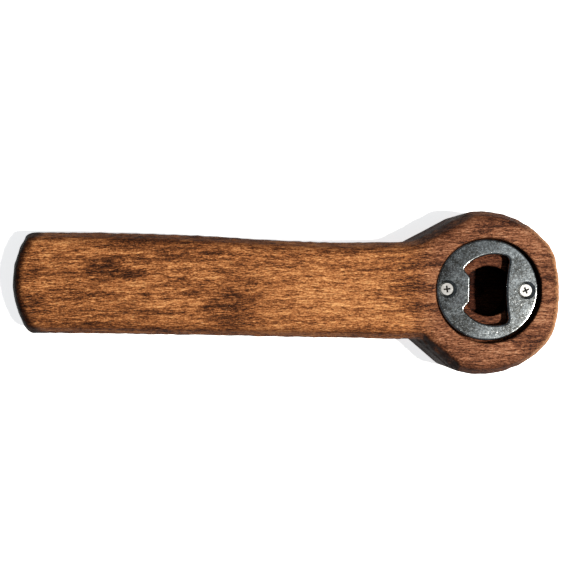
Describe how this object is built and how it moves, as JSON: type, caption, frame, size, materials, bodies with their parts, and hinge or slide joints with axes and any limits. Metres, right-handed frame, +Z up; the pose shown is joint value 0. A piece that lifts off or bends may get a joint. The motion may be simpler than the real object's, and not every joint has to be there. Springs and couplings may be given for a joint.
{
  "type": "bottle opener",
  "caption": "Paddle-shaped wooden bottle opener with a round steel plate screwed over a pocket in its head; the plate's mouth levers crown caps off.",
  "frame": {"origin": "on the underside, in the middle of the overall length and width", "axes": "+X along the handle towards the head with the steel plate, +Y across the handle, +Z up out of the face that carries the plate"},
  "size_m": [0.2188, 0.0654, 0.019],
  "materials": {
    "stained_wood": "dark brown stain on open-grained hardwood, lightly waxed",
    "plate_steel": "tumbled stamped steel with fine scratches",
    "screw_steel": "bright zinc-plated steel"
  },
  "bodies": {
    "root": {"wood_body": "stained_wood", "opener_plate": "plate_steel", "screw_handle_side": "screw_steel", "screw_tip_side": "screw_steel"}
  },
  "joints": []
}
